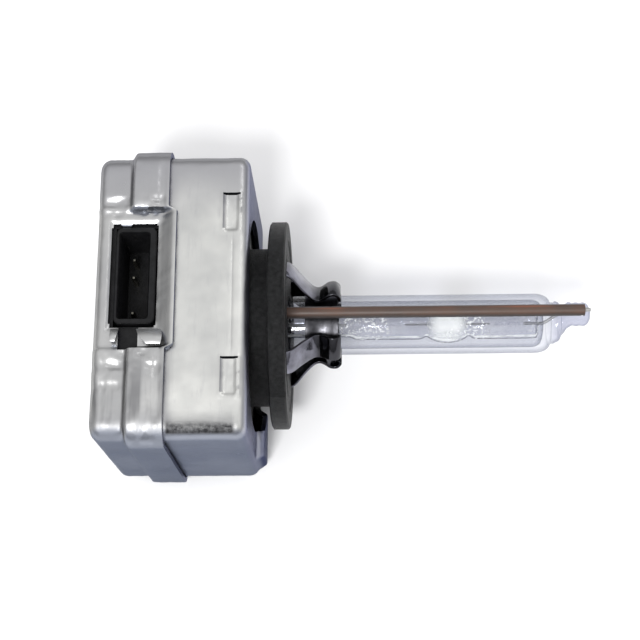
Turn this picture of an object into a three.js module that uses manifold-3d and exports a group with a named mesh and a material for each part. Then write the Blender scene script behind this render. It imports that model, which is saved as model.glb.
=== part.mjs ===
// A gas-discharge headlight bulb with its igniter can, as an assembly of separate pieces.
// Millimetres. +X runs along the lamp axis towards the glass tip, and +Z is the way the plug
// socket faces. The origin is on the lamp axis at the front face of the base's flange.
import * as THREE from "three";
import { mergeVertices } from "three/addons/utils/BufferGeometryUtils.js";
import Module from "manifold-3d";

// Igniter can: two drawn sheet shells, the rear one with a raised band lapped over the front one
const CAN_REAR = -28;
const CAN_FRONT = -5.3;
const CAN_CENTRE_Y = 0.8;
const CAN_HALF_Y = 21.9;
const CAN_HALF_Z = 15.2;
const CAN_CORNER = 2.4;
const CAN_EDGE = 1.6;
const REAR_CORNER = 2.7;
const REAR_EDGE = 1.6;
const SHEET = 0.8;
const BAND_REAR = -22.8;
const BAND_FRONT = -17.2;
const BAND_RISE = 1.05;
const LAP_REAR = -20.8;
const BOSS_RISE = 1.2;
const BOSS_Y = -15.2;
const BOSS_Z = -9.8;
const BOSS_HALF_Y = 5.1;
const BOSS_HALF_Z = 4.8;

// Plug socket in the +Z side of the can, and the flat that the sheet is pressed to around it
const SOCKET_X = -22;
const SOCKET_Y = 3.45;
const SOCKET_SIZE_X = 6;
const SOCKET_SIZE_Y = 15;
const SOCKET_WALLS_X = [0.6, 1.1];
const SOCKET_WALL_Y = 0.9;
const SOCKET_BOTTOM = 4.6;
const SOCKET_FLOOR = 6.2;
const SOCKET_MOUTH = 14.9;
const SOCKET_FLAT = 14.9;
const SOCKET_FLAT_Y = [-7.75, 13.2];
const PIN_X = -23.1;
const PIN_CENTRE_Y = 3.5;
const PIN_PITCH = 2.8;
const PIN_SIZE = 0.64;
const PIN_TOP = 9.5;
const PIN_BEND = 3.4;

// Plastic tray inside the can, and the circuit board across its open rear
const CASE_GAP = 0.3;
const CASE_WALL = 1.2;
const CASE_REAR = -25.9;
const CASE_FLOOR = -6.4;
const BOARD_REAR = -26.5;
const BOARD_THICKNESS = 1.2;

// Ignition transformer, its axis along Y
const COIL_X = -14;
const COIL_Z = -5.6;
const COIL_START = -17;
const COIL_LENGTH = 20;
const COIL_SECTIONS = 4;
const COIL_CORE_R = 3.1;
const COIL_TUBE_R = 4.1;
const COIL_END_R = 6.2;
const COIL_SIDES = 24;

// Lamp base: flange, neck and the sockets that the burner stands in
const FLANGE_R = 16.15;
const FLANGE_REAR = -2.6;
const NECK_R = 12.6;
const NECK_FLAT_Y = 9.95;
const NECK_REAR = -7.5;

// Burner holder: four bent legs and the clamp band around the glass
const LEG_ANGLES = [40, 130, 220, 310];
const LEG_WIDTH = 4;
const LEG_SHEET = 0.45;
const LEG_FOOT_R = 10.2;
const BAND_INNER_R = 4.75;
const BAND_OUTER_R = 5.1;
const CLAMP_START = 2.6;
const CLAMP_END = 7.7;

// Burner glass
const JACKET_R = 4.6;
const JACKET_INNER_R = 3.7;
const JACKET_REAR = -1.6;
const JACKET_BEND = 38;
const JACKET_SHOULDER = 40.3;
const GLASS_TIP = 46.6;
const TIP_R = 1.85;
const TIP_OFFSET = [1.05, 1.1];
const LEG_TUBE_R = 2.35;
const CHAMBER_R = 2.95;
const ARC_CENTRE = 24.6;
const ARC_GAP = 4.2;
const ROD_R = 0.9;
const ROD_BORE_R = 0.45;
const ROD_Z = 6.6;
const ROD_END = 44.9;

const FINE = 40;
const COARSE = 12;
const AXIS_X = new THREE.Vector3(1, 0, 0);
const AXIS_Y = new THREE.Vector3(0, 1, 0);
const AXIS_Z = new THREE.Vector3(0, 0, 1);

const wasm = await Module();
wasm.setup();

// ---------------------------------------------------------------- solids

/** A closed solid from a three.js geometry, ready to be joined and cut. */
function solid(geometry) {
  geometry.deleteAttribute("normal");
  geometry.deleteAttribute("uv");
  const merged = mergeVertices(geometry);
  const corners = merged.index.array;
  const triangles = [];
  for (let i = 0; i < corners.length; i += 3) {
    const [a, b, c] = corners.slice(i, i + 3);
    if (a !== b && b !== c && c !== a) triangles.push(a, b, c);
  }
  return new wasm.Manifold(new wasm.Mesh({
    numProp: 3,
    vertProperties: new Float32Array(merged.attributes.position.array),
    triVerts: new Uint32Array(triangles),
  }));
}

/** The three.js geometry of a finished solid. */
function geometryOf(shape) {
  const { vertProperties, triVerts } = shape.getMesh();
  const geometry = new THREE.BufferGeometry();
  geometry.setAttribute("position", new THREE.BufferAttribute(vertProperties, 3));
  geometry.setIndex(new THREE.BufferAttribute(triVerts, 1));
  geometry.computeVertexNormals();
  return geometry;
}

/** A block between two corners given as [low, high] along X, Y and Z. */
function block(x, y, z) {
  const geometry = new THREE.BoxGeometry(x[1] - x[0], y[1] - y[0], z[1] - z[0]);
  geometry.translate((x[0] + x[1]) / 2, (y[0] + y[1]) / 2, (z[0] + z[1]) / 2);
  return solid(geometry);
}

/** A solid turned around the lamp axis from [x, radius] points listed towards +X. */
function turned(profile, segments = FINE) {
  const points = profile.map(([x, r]) => new THREE.Vector2(r, x));
  const geometry = new THREE.LatheGeometry(points, segments);
  geometry.rotateZ(-Math.PI / 2);
  return solid(geometry);
}

/** A round bar around the lamp axis, between two places along it. */
function bar(x0, x1, radius, segments = FINE) {
  return turned([[x0, 0], [x0, radius], [x1, radius], [x1, 0]], segments);
}

/** A tube around the lamp axis. */
function tube(x0, x1, inner, outer, segments = FINE) {
  return turned([[x0, inner], [x0, outer], [x1, outer], [x1, inner], [x0, inner]], segments);
}

/** A rectangle with round corners, centred on the origin. */
function roundRectangle(halfWidth, halfHeight, radius) {
  const shape = new THREE.Shape();
  const [w, h] = [halfWidth - radius, halfHeight - radius];
  shape.absarc(w, h, radius, 0, Math.PI / 2);
  shape.absarc(-w, h, radius, Math.PI / 2, Math.PI);
  shape.absarc(-w, -h, radius, Math.PI, 1.5 * Math.PI);
  shape.absarc(w, -h, radius, 1.5 * Math.PI, 2 * Math.PI);
  return shape;
}

/** A box along X with round long corners and round edges at both ends, about a given height Y. */
function softBox(x0, x1, halfY, halfZ, corner, edge, centreY = CAN_CENTRE_Y) {
  const outline = roundRectangle(halfY - edge, halfZ - edge, corner - edge);
  const geometry = new THREE.ExtrudeGeometry(outline, {
    depth: x1 - x0 - 2 * edge,
    bevelThickness: edge,
    bevelSize: edge,
    bevelSegments: 3,
    curveSegments: 3,
  });
  geometry.translate(centreY, 0, x0 + edge);
  geometry.applyMatrix4(new THREE.Matrix4().makeBasis(AXIS_Y, AXIS_Z, AXIS_X));
  return solid(geometry);
}

/** A round wire of the given radius along a curve through the points. */
function wire(points, radius, steps) {
  const path = new THREE.CatmullRomCurve3(points.map((p) => new THREE.Vector3(...p)), false, "centripetal");
  const section = new THREE.Shape();
  section.absarc(0, 0, radius, 0, 2 * Math.PI);
  const geometry = new THREE.ExtrudeGeometry(section, {
    steps,
    curveSegments: 4,
    extrudePath: path,
  });
  return solid(geometry);
}

const assembly = new THREE.Group();

/** Adds one piece to a group as a named mesh with its own material. */
function piece(name, shape, [color, roughness, metalness], parent = assembly) {
  const material = new THREE.MeshStandardMaterial({ color, roughness, metalness });
  const mesh = new THREE.Mesh(geometryOf(shape), material);
  mesh.name = name;
  parent.add(mesh);
  return mesh;
}

const TINPLATE = [0xc4c6ca, 0.35, 1];
const BLACK_PLASTIC = [0x2b2d30, 0.55, 0];
const PIN_METAL = [0xd9cfae, 0.3, 1];
const SPRING_STEEL = [0x84858c, 0.25, 1];
const CLEAR_GLASS = [0xdfe4ee, 0.05, 0];
const TUNGSTEN = [0x6f6e6c, 0.4, 1];
const FOIL = [0xb9bac0, 0.3, 1];
const BROWN_CERAMIC = [0x7a6a60, 0.5, 0];
const COPPER = [0xb4683c, 0.35, 1];
const FERRITE = [0x35363a, 0.7, 0];
const BOARD_GREEN = [0x2f6b4a, 0.6, 0];
const COIL_FORMER = [0xcfc6ae, 0.6, 0];
const WHITE_CERAMIC = [0xe4e2dc, 0.5, 0];
const BLUE_EPOXY = [0x3a5f96, 0.45, 0];
const RED_SLEEVE = [0xa33b32, 0.5, 0];

// ---------------------------------------------------------------- igniter can

const farEnd = 60;

/** One skin of the rear cover: the cup and its band, both moved inwards by inset. */
function rearSkin(inset) {
  const [halfY, halfZ] = [CAN_HALF_Y - inset, CAN_HALF_Z - inset];
  const cup = softBox(CAN_REAR + inset, farEnd, halfY, halfZ, REAR_CORNER - inset, REAR_EDGE - inset);
  const band = softBox(
    BAND_REAR + inset, farEnd, halfY + BAND_RISE, halfZ + BAND_RISE,
    CAN_CORNER + BAND_RISE - inset, BAND_RISE - inset * 0.5,
  );
  const flat = block(
    [CAN_REAR - 1, farEnd],
    [SOCKET_FLAT_Y[0] - inset, SOCKET_FLAT_Y[1] + inset],
    [SOCKET_FLAT - inset, farEnd],
  );
  return cup.add(band).subtract(flat);
}

const windowCut = block([-25.7, -18.8], [SOCKET_Y - 8, SOCKET_Y + 8.2], [10, farEnd]);
const keyNotch = block([-24.2, -21.3], [SOCKET_FLAT_Y[0] - 0.3, SOCKET_Y - 7.8], [13.5, farEnd]);

function rearCover() {
  const behindLip = block([CAN_REAR - 1, BAND_FRONT], [-farEnd, farEnd], [-farEnd, farEnd]);
  return rearSkin(0)
    .intersect(behindLip)
    .subtract(rearSkin(SHEET))
    .subtract(windowCut)
    .subtract(keyNotch);
}

/** The pressed pads beside the front edge: each is sunk by half the sheet and sheared at its top. */
const LANCES = [[10, 16.25], [-15.1, -9.2]];
const LANCE_X = [-9.2, -6.7];

function frontShell() {
  const behind = -farEnd;
  const skin = (inset) => softBox(
    behind, CAN_FRONT - inset, CAN_HALF_Y - inset, CAN_HALF_Z - inset,
    CAN_CORNER - inset, CAN_EDGE - inset,
  );
  // a low boss on the lower far part of the front wall makes room for the transformer
  const boss = (inset) => softBox(
    behind, CAN_FRONT + BOSS_RISE - inset, BOSS_HALF_Y - inset, BOSS_HALF_Z - inset, 3, 1, BOSS_Y,
  ).translate([0, 0, BOSS_Z]);
  const neckHole = bar(-12, 0, 16.5)
    .intersect(block([-12, 0], [-farEnd, farEnd], [-13, 13]));
  const socketRelief = block(
    [behind, BAND_FRONT + 0.3], [SOCKET_FLAT_Y[0] - 1.2, SOCKET_FLAT_Y[1] + 1.2], [10, farEnd],
  );
  let shell = skin(0).add(boss(0))
    .intersect(block([LAP_REAR, farEnd], [-farEnd, farEnd], [-farEnd, farEnd]))
    .subtract(skin(SHEET).add(boss(SHEET)))
    .subtract(neckHole)
    .subtract(socketRelief);
  const sunk = SHEET / 2;
  for (const [low, high] of LANCES) {
    const pad = block(LANCE_X, [low, high], [CAN_HALF_Z - SHEET - sunk, CAN_HALF_Z - sunk]);
    const dish = block(LANCE_X, [low, high], [CAN_HALF_Z - sunk, farEnd]);
    const shear = block(LANCE_X, [high - 0.3, high], [10, farEnd]);
    shell = shell.add(pad).subtract(dish).subtract(shear);
  }
  return shell;
}

piece("rear_cover", rearCover(), TINPLATE);
piece("front_shell", frontShell(), TINPLATE);

// ---------------------------------------------------------------- tray, socket and board

const trayHalfY = CAN_HALF_Y - SHEET - CASE_GAP;
const trayHalfZ = CAN_HALF_Z - SHEET - 2 * CASE_GAP;

/** The outline of the tray, moved inwards by inset. */
function traySkin(inset) {
  return softBox(-farEnd, CASE_FLOOR - inset, trayHalfY - inset, trayHalfZ - inset, 2.6 - inset, 1.8 - inset);
}

function igniterCase() {
  const socketHole = block(
    [SOCKET_X - SOCKET_SIZE_X / 2 - 0.2, SOCKET_X + SOCKET_SIZE_X / 2 + 0.2],
    [SOCKET_Y - SOCKET_SIZE_Y / 2 - 0.2, SOCKET_Y + SOCKET_SIZE_Y / 2 + 0.2],
    [0, farEnd],
  );
  return traySkin(0)
    .intersect(block([CASE_REAR, farEnd], [-farEnd, farEnd], [-farEnd, farEnd]))
    .subtract(traySkin(CASE_WALL))
    .subtract(bar(-12, 0, NECK_R + 0.3))
    .subtract(socketHole);
}

const pinYs = [1.5, 0.5, -1.5].map((place) => PIN_CENTRE_Y + place * PIN_PITCH);

function connectorSocket() {
  const outer = block(
    [SOCKET_X - SOCKET_SIZE_X / 2, SOCKET_X + SOCKET_SIZE_X / 2],
    [SOCKET_Y - SOCKET_SIZE_Y / 2, SOCKET_Y + SOCKET_SIZE_Y / 2],
    [SOCKET_BOTTOM, SOCKET_MOUTH],
  );
  const halfY = SOCKET_SIZE_Y / 2 - SOCKET_WALL_Y;
  const cavity = block(
    [SOCKET_X - SOCKET_SIZE_X / 2 + SOCKET_WALLS_X[0], SOCKET_X + SOCKET_SIZE_X / 2 - SOCKET_WALLS_X[1]],
    [SOCKET_Y - halfY, SOCKET_Y + halfY],
    [SOCKET_FLOOR, farEnd],
  );
  let socket = outer.subtract(cavity);
  const hole = PIN_SIZE / 2 + 0.1;
  for (const y of pinYs) {
    socket = socket.subtract(block([PIN_X - hole, PIN_X + hole], [y - hole, y + hole], [0, farEnd]));
  }
  return socket;
}

/** A square pin, up into the socket and back through the board, around its own bend. */
function contactPin() {
  const half = PIN_SIZE / 2;
  const foot = BOARD_REAR - 0.4 - PIN_X;
  const outline = new THREE.Shape([
    [foot, -half], [half, -half], [half, PIN_TOP - PIN_BEND],
    [-half, PIN_TOP - PIN_BEND], [-half, half], [foot, half],
  ].map(([x, z]) => new THREE.Vector2(x, z)));
  const geometry = new THREE.ExtrudeGeometry(outline, { depth: PIN_SIZE, bevelEnabled: false });
  geometry.translate(0, 0, -half);
  geometry.rotateX(Math.PI / 2);
  return solid(geometry);
}

function circuitBoard() {
  const front = BOARD_REAR + BOARD_THICKNESS;
  let board = traySkin(CASE_WALL + 0.3)
    .intersect(block([BOARD_REAR, front], [-farEnd, farEnd], [-farEnd, farEnd]));
  const hole = PIN_SIZE / 2 + 0.1;
  for (const y of pinYs) {
    board = board.subtract(block(
      [BOARD_REAR - 1, front + 1], [y - hole, y + hole], [PIN_BEND - hole, PIN_BEND + hole],
    ));
  }
  return board;
}

/** A strip of spring sheet that touches the plug's shield at the top of the window. */
function shieldContact() {
  const rim = SOCKET_Y + SOCKET_SIZE_Y / 2;
  const outline = new THREE.Shape([
    [-24.6, rim + 0.65], [-24.1, rim + 0.2], [-23, rim + 0.2], [-22.5, rim + 0.65],
  ].map(([x, y]) => new THREE.Vector2(x, y)));
  const geometry = new THREE.ExtrudeGeometry(outline, { depth: SHEET, bevelEnabled: false });
  geometry.translate(0, 0, SOCKET_FLAT - SHEET);
  return solid(geometry);
}

piece("igniter_case", igniterCase(), BLACK_PLASTIC);
piece("connector_socket", connectorSocket(), BLACK_PLASTIC);
pinYs.forEach((y, i) => {
  const pin = piece(`contact_pin_${i + 1}`, contactPin(), PIN_METAL);
  pin.position.set(PIN_X, y, PIN_BEND);
});
piece("shield_contact", shieldContact(), TINPLATE);
piece("circuit_board", circuitBoard(), BOARD_GREEN);

// ---------------------------------------------------------------- igniter parts

const electronics = new THREE.Group();
assembly.add(electronics);

/** The transformer is turned around its own axis, then its group lays that axis along Y. */
const transformer = new THREE.Group();
transformer.position.set(COIL_X, COIL_START, COIL_Z);
transformer.rotation.z = Math.PI / 2;
electronics.add(transformer);

const former = { end: 1, divider: 0.6, dividerR: 5 };
const sectionPitch = (COIL_LENGTH - 2 * former.end + former.divider) / COIL_SECTIONS;

function coilFormer() {
  let shape = tube(0, COIL_LENGTH, COIL_CORE_R + 0.3, COIL_TUBE_R, COIL_SIDES)
    .add(tube(0, former.end, COIL_CORE_R + 0.3, COIL_END_R, COIL_SIDES))
    .add(tube(COIL_LENGTH - former.end, COIL_LENGTH, COIL_CORE_R + 0.3, COIL_END_R, COIL_SIDES));
  for (let i = 1; i < COIL_SECTIONS; i++) {
    const start = former.end + i * sectionPitch - former.divider;
    shape = shape.add(tube(start, start + former.divider, COIL_CORE_R + 0.3, former.dividerR, COIL_SIDES));
  }
  return shape;
}

function primaryTurns() {
  const turns = 3;
  const points = [];
  for (let i = 0; i <= turns * 12; i++) {
    const angle = (i / 12) * 2 * Math.PI;
    points.push([5 + (i / 12) * 3.2, 5.65 * Math.cos(angle), 5.65 * Math.sin(angle)]);
  }
  return wire(points, 0.3, 42);
}

piece("ferrite_core", bar(-0.8, COIL_LENGTH + 0.8, COIL_CORE_R, COIL_SIDES), FERRITE, transformer);
piece("coil_former", coilFormer(), COIL_FORMER, transformer);
for (let i = 0; i < COIL_SECTIONS; i++) {
  const start = former.end + i * sectionPitch;
  const winding = tube(
    start + 0.3, start + sectionPitch - former.divider - 0.3,
    COIL_TUBE_R + 0.3, former.dividerR - 0.1, COIL_SIDES,
  );
  piece(`secondary_winding_${i + 1}`, winding, COPPER, transformer);
}
piece("primary_winding", primaryTurns(), COPPER, transformer);

/** The spark gap: a ceramic tube between two metal caps, its axis along Y. */
const sparkGap = new THREE.Group();
sparkGap.position.set(-14, 6.6, -6);
sparkGap.rotation.z = Math.PI / 2;
electronics.add(sparkGap);

const cap = turned([[0, 0], [0, 3.2], [0.3, 3.7], [1, 3.7], [1, 0]], 28);
piece("spark_gap_cap_1", cap, SPRING_STEEL, sparkGap);
piece("spark_gap_body", tube(1.3, 6.7, 2.2, 4, 28), WHITE_CERAMIC, sparkGap);
const outerCap = piece("spark_gap_cap_2", cap, SPRING_STEEL, sparkGap);
outerCap.position.x = 8;
outerCap.rotation.z = Math.PI;

/** A small part with a wire out of each end, turned around its own axis. */
function leadedPart(bodyLength, bodyR, leadLength, leadR) {
  const [a, b] = [leadLength, leadLength + bodyLength];
  return turned([
    [0, 0], [0, leadR], [a, leadR], [a, bodyR], [b, bodyR], [b, leadR],
    [b + leadLength, leadR], [b + leadLength, 0],
  ], COARSE);
}

const capacitor = piece("pulse_capacitor", softBox(-4.75, 4.75, 5, 4.5, 1, 0.8, 0), BLUE_EPOXY, electronics);
capacitor.position.set(-13.6, -12.5, 7.4);
const resistor = piece("bleed_resistor", leadedPart(6.5, 1.3, 2.5, 0.3), WHITE_CERAMIC, electronics);
resistor.position.set(-12, 4.5, 9.6);
resistor.rotation.z = Math.PI / 2;
const diode = piece("rectifier_diode", leadedPart(4.5, 1.2, 2.2, 0.35), FERRITE, electronics);
diode.position.set(-16.5, 6, 3.6);
diode.rotation.z = Math.PI / 2;
piece("hv_lead", bar(-9.6, -3.9, 0.8, COARSE), RED_SLEEVE, electronics);

// ---------------------------------------------------------------- lamp base

/** A block that stands at a radius from the lamp axis, turned from +Z towards +Y by degrees. */
function radialBlock(x, radii, width, degrees) {
  return block(x, [-width / 2, width / 2], radii).rotate([-degrees, 0, 0]);
}

function lampBase() {
  const neck = bar(NECK_REAR, FLANGE_REAR + 0.5, NECK_R)
    .intersect(block([NECK_REAR, 0], [-farEnd, NECK_FLAT_Y], [-farEnd, farEnd]));
  const round = 0.25;
  const flange = turned([
    [FLANGE_REAR, 0], [FLANGE_REAR, FLANGE_R - round], [FLANGE_REAR + round, FLANGE_R],
    [-round, FLANGE_R], [0, FLANGE_R - round], [0, 0],
  ], 72);
  const key = radialBlock([CAN_FRONT + 0.3, FLANGE_REAR + 0.5], [NECK_R - 1.5, FLANGE_R - 0.4], 4, 11);
  // the rim is set back a little between the two seats on the socket side
  const setBack = new THREE.Shape();
  const [from, to] = [-57.5, -2].map(THREE.MathUtils.degToRad);
  setBack.absarc(0, 0, FLANGE_R + 2, from, to, false);
  setBack.absarc(0, 0, FLANGE_R - 0.35, to, from, true);
  const ring = new THREE.ExtrudeGeometry(setBack, { depth: 6, bevelEnabled: false, curveSegments: 16 });
  ring.translate(0, 0, -4);
  ring.applyMatrix4(new THREE.Matrix4().makeBasis(AXIS_Z, AXIS_Y, AXIS_X.clone().negate()));
  let base = flange.add(neck).add(key).subtract(solid(ring));
  for (const angle of LEG_ANGLES) {
    const slot = radialBlock([-1.9, 1], [LEG_FOOT_R - 0.6, LEG_FOOT_R + 0.6], LEG_WIDTH + 0.6, angle);
    base = base.subtract(slot);
  }
  return base
    .subtract(bar(JACKET_REAR - 0.3, 1, JACKET_R + 0.35))
    .subtract(bar(-3.6, 1, 2.4, 28))
    .subtract(bar(NECK_REAR - 1, 1, 1.2, 20))
    .subtract(bar(FLANGE_REAR - 2, 1, ROD_R + 0.3, 20).translate([0, 0, ROD_Z]));
}

piece("lamp_base", lampBase(), BLACK_PLASTIC);

// ---------------------------------------------------------------- burner holder

/** The side view of a leg as [x, radius]: foot, slope, valley on the clamp band, hump and curl. */
const LEG_ROUTE = [
  [-1.6, LEG_FOOT_R], [-0.2, LEG_FOOT_R], [0.7, 9.7], [2.2, 7.7], [3.6, 6.1], [4.6, 5.62],
  [5.4, 5.9], [6.3, 6.55], [7.2, 6.65], [7.8, 6.15], [7.9, 5.6],
];

function holderLeg() {
  const centre = new THREE.SplineCurve(LEG_ROUTE.map(([x, r]) => new THREE.Vector2(x, r)));
  const steps = 26;
  const [upper, lower] = [[], []];
  for (let i = 0; i <= steps; i++) {
    const at = centre.getPoint(i / steps);
    const along = centre.getTangent(i / steps);
    const side = new THREE.Vector2(-along.y, along.x).multiplyScalar(LEG_SHEET / 2);
    upper.push(at.clone().add(side));
    lower.unshift(at.clone().sub(side));
  }
  const outline = new THREE.Shape([...upper, ...lower]);
  const geometry = new THREE.ExtrudeGeometry(outline, { depth: LEG_WIDTH, bevelEnabled: false });
  geometry.translate(0, 0, -LEG_WIDTH / 2);
  return solid(geometry);
}

const leg = holderLeg();
LEG_ANGLES.forEach((angle, i) => {
  const mesh = piece(`holder_leg_${i + 1}`, leg, SPRING_STEEL);
  mesh.rotation.x = THREE.MathUtils.degToRad(90 - angle);
});

const slit = block([0, 10], [-0.4, 0.4], [-6, -4]);
piece("clamp_band", tube(CLAMP_START, CLAMP_END, BAND_INNER_R, BAND_OUTER_R).subtract(slit), SPRING_STEEL);

// ---------------------------------------------------------------- burner glass

const burner = new THREE.Group();
assembly.add(burner);

/** The way of the front lead wire, out of the arc tube and over into the offset tip. */
const FRONT_LEAD = [
  [36.4, 0, 0], [38.6, 0, 0], [39.6, 0.1, 0.1], [41.4, TIP_OFFSET[0] - 0.1, TIP_OFFSET[1] - 0.1],
  [42.4, ...TIP_OFFSET], [44.9, ...TIP_OFFSET],
];

/** Points of a quarter circle between two [x, radius] places, bulging outwards. */
function shoulder([x0, r0], [x1, r1], count) {
  const points = [];
  for (let i = 0; i <= count; i++) {
    const angle = (i / count) * (Math.PI / 2);
    points.push([x0 + (x1 - x0) * Math.sin(angle), r1 + (r0 - r1) * Math.cos(angle)]);
  }
  return points;
}

function outerJacket() {
  const skin = turned([
    [JACKET_REAR, 0], [JACKET_REAR, JACKET_R],
    ...shoulder([JACKET_BEND, JACKET_R], [JACKET_SHOULDER, 3.3], 6), [40.6, 3.2],
    ...shoulder([41.4, 3.2], [42, 2.3], 3), ...shoulder([42.8, 2.2], [43.4, 1.2], 3), [43.4, 0],
  ]);
  const tip = turned([
    [39.5, 0], [39.5, TIP_R], ...shoulder([GLASS_TIP - 1.2, TIP_R], [GLASS_TIP, 0], 5),
  ], 20).translate([0, ...TIP_OFFSET]);
  const room = turned([
    [JACKET_REAR - 1, 0], [JACKET_REAR - 1, JACKET_INNER_R],
    ...shoulder([37.4, JACKET_INNER_R], [39, 2.75], 5), [39.4, 2.75], [39.4, 0],
  ]);
  const leadWay = wire(FRONT_LEAD, 0.55, 14);
  const returnWay = bar(0, 3, 0.65, COARSE).rotate([0, -90, 0]).translate([44.4, ...TIP_OFFSET]);
  return skin.add(tip).subtract(room).subtract(leadWay).subtract(returnWay);
}

/** The quartz discharge vessel, with a way through each leg for its foil and electrode. */
function arcTube() {
  const chamberStart = ARC_CENTRE - 3.1;
  const chamberEnd = ARC_CENTRE + 3.1;
  const outer = turned([
    [-3.2, 0], [-3.2, 1.9], [9.6, 1.9], [10.5, LEG_TUBE_R], [20.6, LEG_TUBE_R],
    [21.2, 1.9], [chamberStart, 2.1], ...shoulder([ARC_CENTRE, CHAMBER_R], [chamberStart, 2.1], 5).reverse(),
    ...shoulder([ARC_CENTRE, CHAMBER_R], [chamberEnd, 2.1], 5).slice(1),
    [28.1, 1.9], [28.8, LEG_TUBE_R], [38.5, LEG_TUBE_R], [38.5, 0],
  ], 28);
  const reach = 3.4;
  const room = turned(Array.from({ length: 9 }, (_, i) => {
    const angle = Math.PI * (1 - i / 8);
    return [ARC_CENTRE + reach * Math.cos(angle), 1.35 * Math.sin(angle)];
  }), 16);
  const rearFoil = block([8.8, 17.6], [-0.4, 0.4], [-1.15, 1.15]);
  const frontFoil = block([31.6, 37], [-0.4, 0.4], [-1.15, 1.15]);
  return outer
    .subtract(room)
    .subtract(bar(-4, ARC_CENTRE, 0.6, 16))
    .subtract(bar(ARC_CENTRE, 40, 0.6, 16))
    .subtract(rearFoil)
    .subtract(frontFoil);
}

/** An electrode: a thin rod with a round tip at its +X end. */
function electrode(length) {
  return turned([
    [0, 0], [0, 0.15], [length - 0.6, 0.15], [length - 0.45, 0.3], [length - 0.15, 0.3],
    [length, 0.15], [length, 0],
  ], 14);
}

function returnWire() {
  const above = TIP_OFFSET[1] + 0.9;
  return wire([
    [-3.8, 0, ROD_Z], [20, 0, ROD_Z], [43.6, 0, ROD_Z], [44.9, 0, ROD_Z], [45.3, 0.3, ROD_Z - 0.5],
    [44.7, TIP_OFFSET[0] - 0.1, ROD_Z - 2.2], [44.4, TIP_OFFSET[0], above + 1], [44.4, TIP_OFFSET[0], above],
  ], 0.28, 44);
}

piece("outer_jacket", outerJacket(), CLEAR_GLASS, burner);
piece("arc_tube", arcTube(), CLEAR_GLASS, burner);
const rearElectrode = piece("electrode_rear", electrode(4.5), TUNGSTEN, burner);
rearElectrode.position.x = ARC_CENTRE - ARC_GAP / 2 - 4.5;
const frontElectrode = piece("electrode_front", electrode(4.5), TUNGSTEN, burner);
frontElectrode.position.x = ARC_CENTRE + ARC_GAP / 2 + 4.5;
frontElectrode.rotation.z = Math.PI;
piece("foil_rear", block([9.2, 17.3], [-0.06, 0.06], [-0.8, 0.8]), FOIL, burner);
piece("foil_front", block([32, 36.2], [-0.06, 0.06], [-0.8, 0.8]), FOIL, burner);
piece("lead_wire_rear", bar(-3.6, 8.9, 0.25, 14), TUNGSTEN, burner);
piece("lead_wire_front", wire(FRONT_LEAD, 0.25, 14), TUNGSTEN, burner);
const sleeve = tube(-3.9, ROD_END, ROD_BORE_R, ROD_R, 20).translate([0, 0, ROD_Z]);
piece("ceramic_tube", sleeve, BROWN_CERAMIC, burner);
piece("return_wire", returnWire(), SPRING_STEEL, burner);

export default assembly;
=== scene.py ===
import math
import bpy
import bmesh
from mathutils import Matrix, Vector, noise

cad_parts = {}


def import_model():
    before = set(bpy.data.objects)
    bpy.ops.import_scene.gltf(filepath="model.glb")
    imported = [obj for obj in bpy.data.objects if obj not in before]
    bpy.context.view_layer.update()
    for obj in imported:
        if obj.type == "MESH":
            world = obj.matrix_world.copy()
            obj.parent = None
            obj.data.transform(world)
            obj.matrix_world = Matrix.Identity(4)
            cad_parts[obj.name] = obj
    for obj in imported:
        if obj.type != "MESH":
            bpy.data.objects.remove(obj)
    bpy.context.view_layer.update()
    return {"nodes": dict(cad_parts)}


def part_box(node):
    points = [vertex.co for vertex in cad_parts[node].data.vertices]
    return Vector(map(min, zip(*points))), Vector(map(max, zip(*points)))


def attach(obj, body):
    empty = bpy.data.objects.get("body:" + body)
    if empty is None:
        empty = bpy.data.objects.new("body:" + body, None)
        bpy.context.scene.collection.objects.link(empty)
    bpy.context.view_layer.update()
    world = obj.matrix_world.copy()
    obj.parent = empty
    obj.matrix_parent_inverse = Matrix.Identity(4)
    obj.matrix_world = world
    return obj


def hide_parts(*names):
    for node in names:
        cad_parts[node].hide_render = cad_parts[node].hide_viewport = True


# A gas-discharge headlight bulb: pressed sheet-metal igniter can, black base and glass burner.
# Shapes are worked out in millimetres and written in metres.

MM = 0.001

# Igniter can
CAN_REAR = -28.0
CAN_FRONT = -5.3
CAN_CENTRE_Y = 0.8
CAN_HALF_Y = 21.9
CAN_HALF_Z = 15.2
SHEET = 0.8
REAR_CORNER = 2.7
REAR_EDGE = 1.6
FRONT_CORNER = 2.4
FRONT_EDGE = 1.6
BAND_REAR = -22.8
BAND_FRONT = -17.2
BAND_RISE = 1.05
FLANK_REACH = 1.2
LAP_REAR = -20.6
NEAR_WALL_Z = 10.0
FLAT_Y = (-7.75, 13.2)
FLAT_DEPTH = 0.35
FOLDS = ((FLAT_Y[1] + 1.6, 0.36), (FLAT_Y[0] - 2.6, 0.22), (-13.5, 0.2))
DENT = (-22.2, 20.6)
WINDOW_X = (-25.7, -18.8)
WINDOW_Y = (-4.55, 11.65)
NOTCH_X = (-24.2, -21.3)
NOTCH_Y = (-8.05, -4.55)
TAB_FOOT_Z = 14.95
TAB_SHEET = 0.35
LANCE_X = (-9.2, -6.7)
LANCES_Y = ((10.0, 16.25), (-15.1, -9.2))
LANCE_DEPTH = 0.32
CREASE_X = -7.6
CREASE_HALF = 0.2
CREASE_Y = (-9.0, 10.0)
BOSS_RISE = 1.2
SCUFF_Y = -19.7
SCUFF_HALF = 0.85
BOSS_Y = (-20.3, -10.1)
BOSS_Z = (-14.6, -5.0)
NECK_HOLE_R = 16.5
NECK_HOLE_Z = 13.0

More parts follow.
